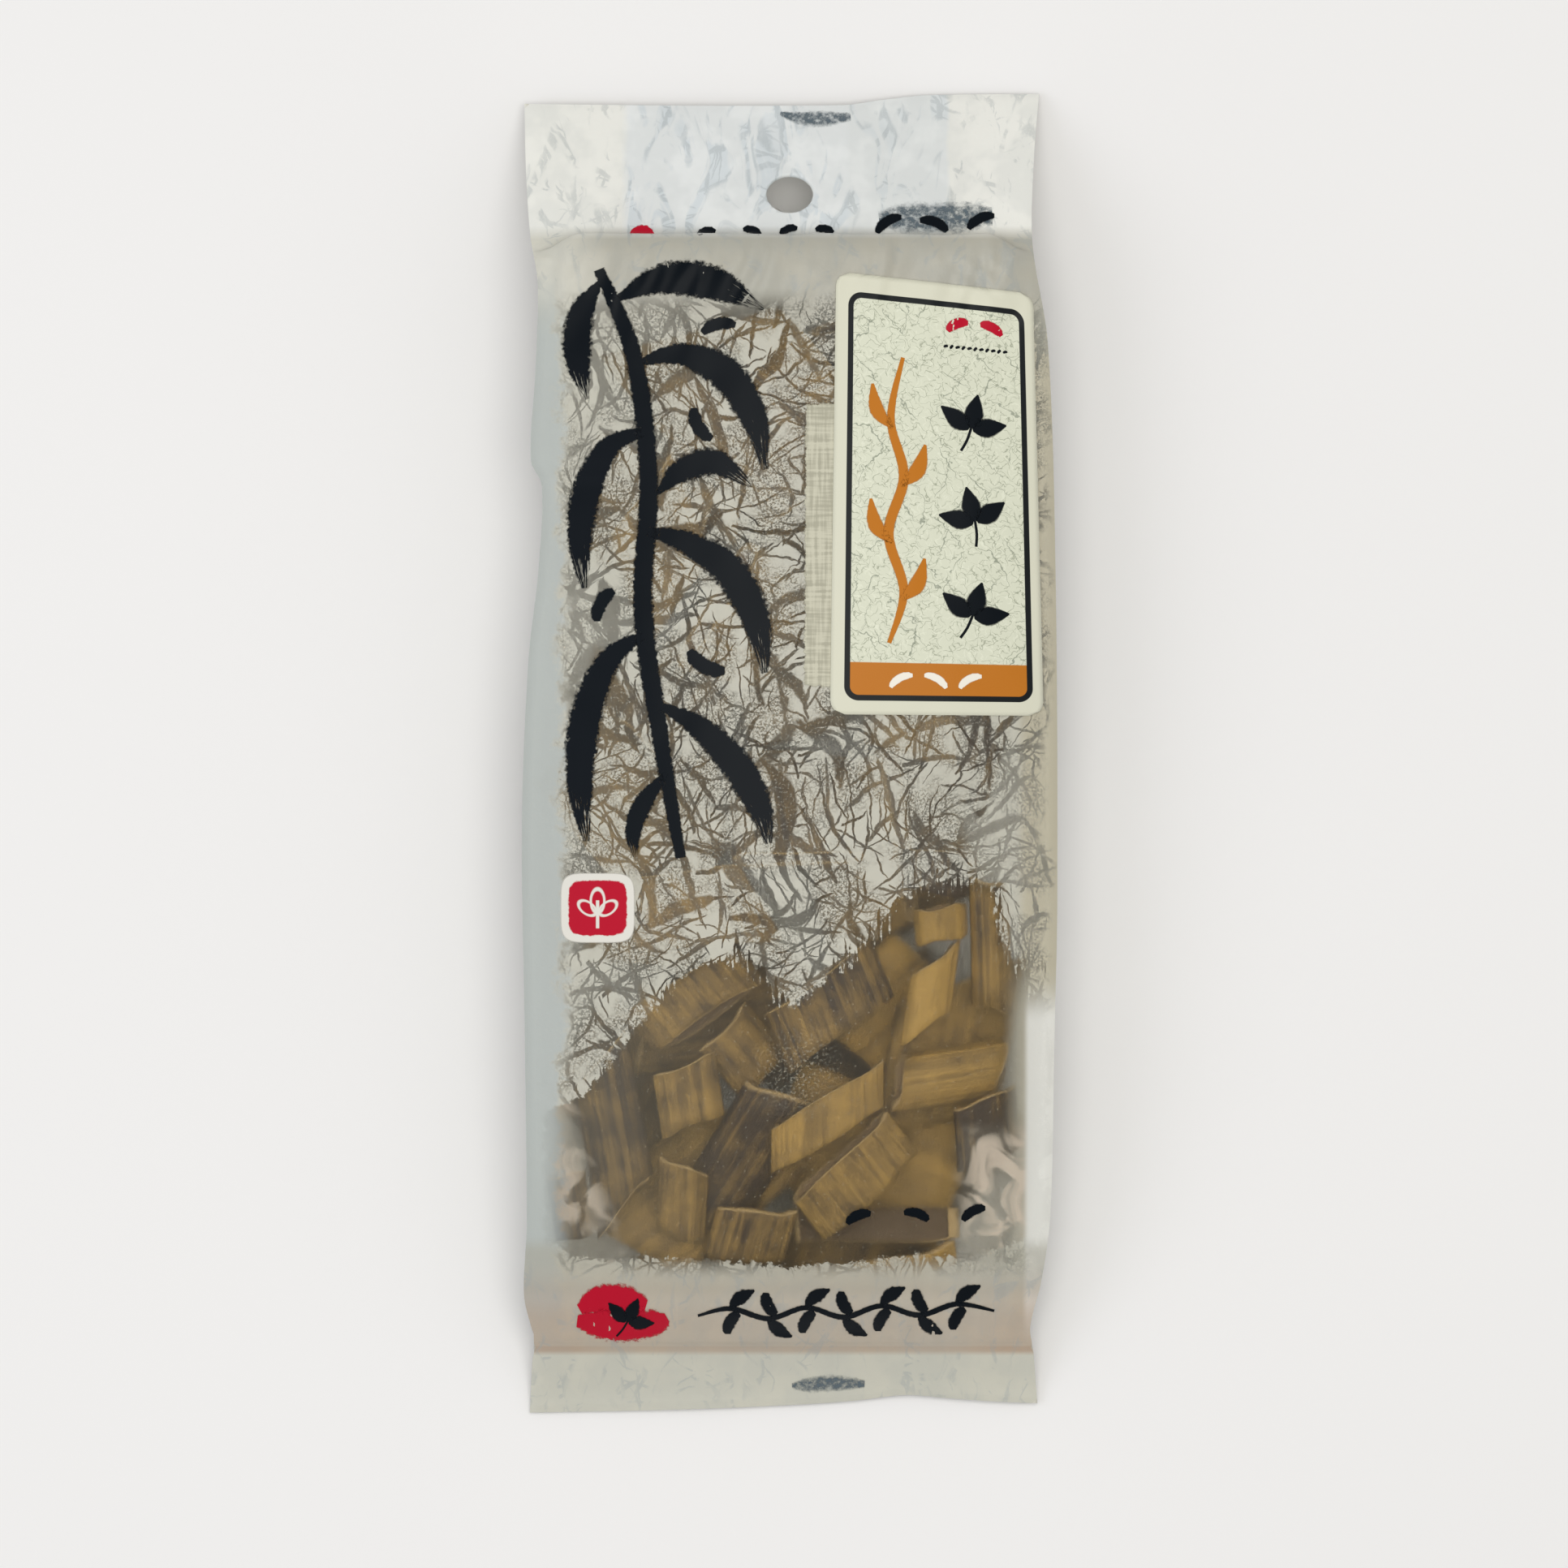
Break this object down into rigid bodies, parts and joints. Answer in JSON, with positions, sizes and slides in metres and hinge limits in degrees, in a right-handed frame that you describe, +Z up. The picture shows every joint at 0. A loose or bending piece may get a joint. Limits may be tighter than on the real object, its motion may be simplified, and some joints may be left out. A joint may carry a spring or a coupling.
{
  "type": "packet of dried sword bean slices",
  "caption": "Sealed side-gusseted film packet with a hang-hole header and a stuck-on label, filled with loose dried slices of sword bean pod, lying on its back.",
  "frame": {"origin": "centre of the packet's outline on the surface that its back lies on", "axes": "+X to the right seen from the front, +Y from the bottom seal to the header, +Z up out of the front film"},
  "size_m": [0.1134, 0.282, 0.0382],
  "materials": {
    "printed_film": "matt frosted film printed with a white paper-fibre pattern, with a clear window at the lower front",
    "label_paper": "satin coated label paper with a thin dark frame and an orange band",
    "dried_pod": "dry leathery pod skin, dark brown to tan, with paler cut edges"
  },
  "bodies": {
    "root": {"film_pouch": "printed_film", "label_sticker": "label_paper", "slice_01": "dried_pod", "slice_02": "dried_pod", "slice_03": "dried_pod", "slice_04": "dried_pod", "slice_05": "dried_pod", "slice_06": "dried_pod", "slice_07": "dried_pod", "slice_08": "dried_pod", "slice_09": "dried_pod", "slice_10": "dried_pod", "slice_11": "dried_pod", "slice_12": "dried_pod", "slice_13": "dried_pod", "slice_14": "dried_pod", "slice_15": "dried_pod", "slice_16": "dried_pod", "slice_17": "dried_pod", "slice_18": "dried_pod", "slice_19": "dried_pod", "slice_20": "dried_pod", "slice_21": "dried_pod", "slice_22": "dried_pod", "slice_23": "dried_pod", "slice_24": "dried_pod", "slice_25": "dried_pod", "slice_26": "dried_pod", "slice_27": "dried_pod", "slice_28": "dried_pod", "slice_29": "dried_pod", "slice_30": "dried_pod", "slice_31": "dried_pod", "slice_32": "dried_pod", "slice_33": "dried_pod", "slice_34": "dried_pod", "slice_35": "dried_pod", "slice_36": "dried_pod", "slice_37": "dried_pod", "slice_38": "dried_pod", "slice_loop_folded_rim": "dried_pod", "slice_loop_high_left": "dried_pod", "slice_loop_high_right": "dried_pod", "slice_loop_long": "dried_pod", "slice_loop_upper_left": "dried_pod", "slice_loop_upper_middle": "dried_pod", "slice_valve_bright": "dried_pod", "slice_valve_brown_middle": "dried_pod", "slice_valve_crescent": "dried_pod", "slice_valve_dark_top": "dried_pod", "slice_valve_foot": "dried_pod", "slice_valve_low_gold": "dried_pod", "slice_valve_low_left": "dried_pod", "slice_valve_low_tan": "dried_pod", "slice_valve_olive": "dried_pod", "slice_valve_point_middle": "dried_pod", "slice_valve_ridged_long": "dried_pod", "slice_valve_right_edge": "dried_pod", "slice_valve_right_low": "dried_pod", "slice_valve_square": "dried_pod"}
  },
  "joints": []
}
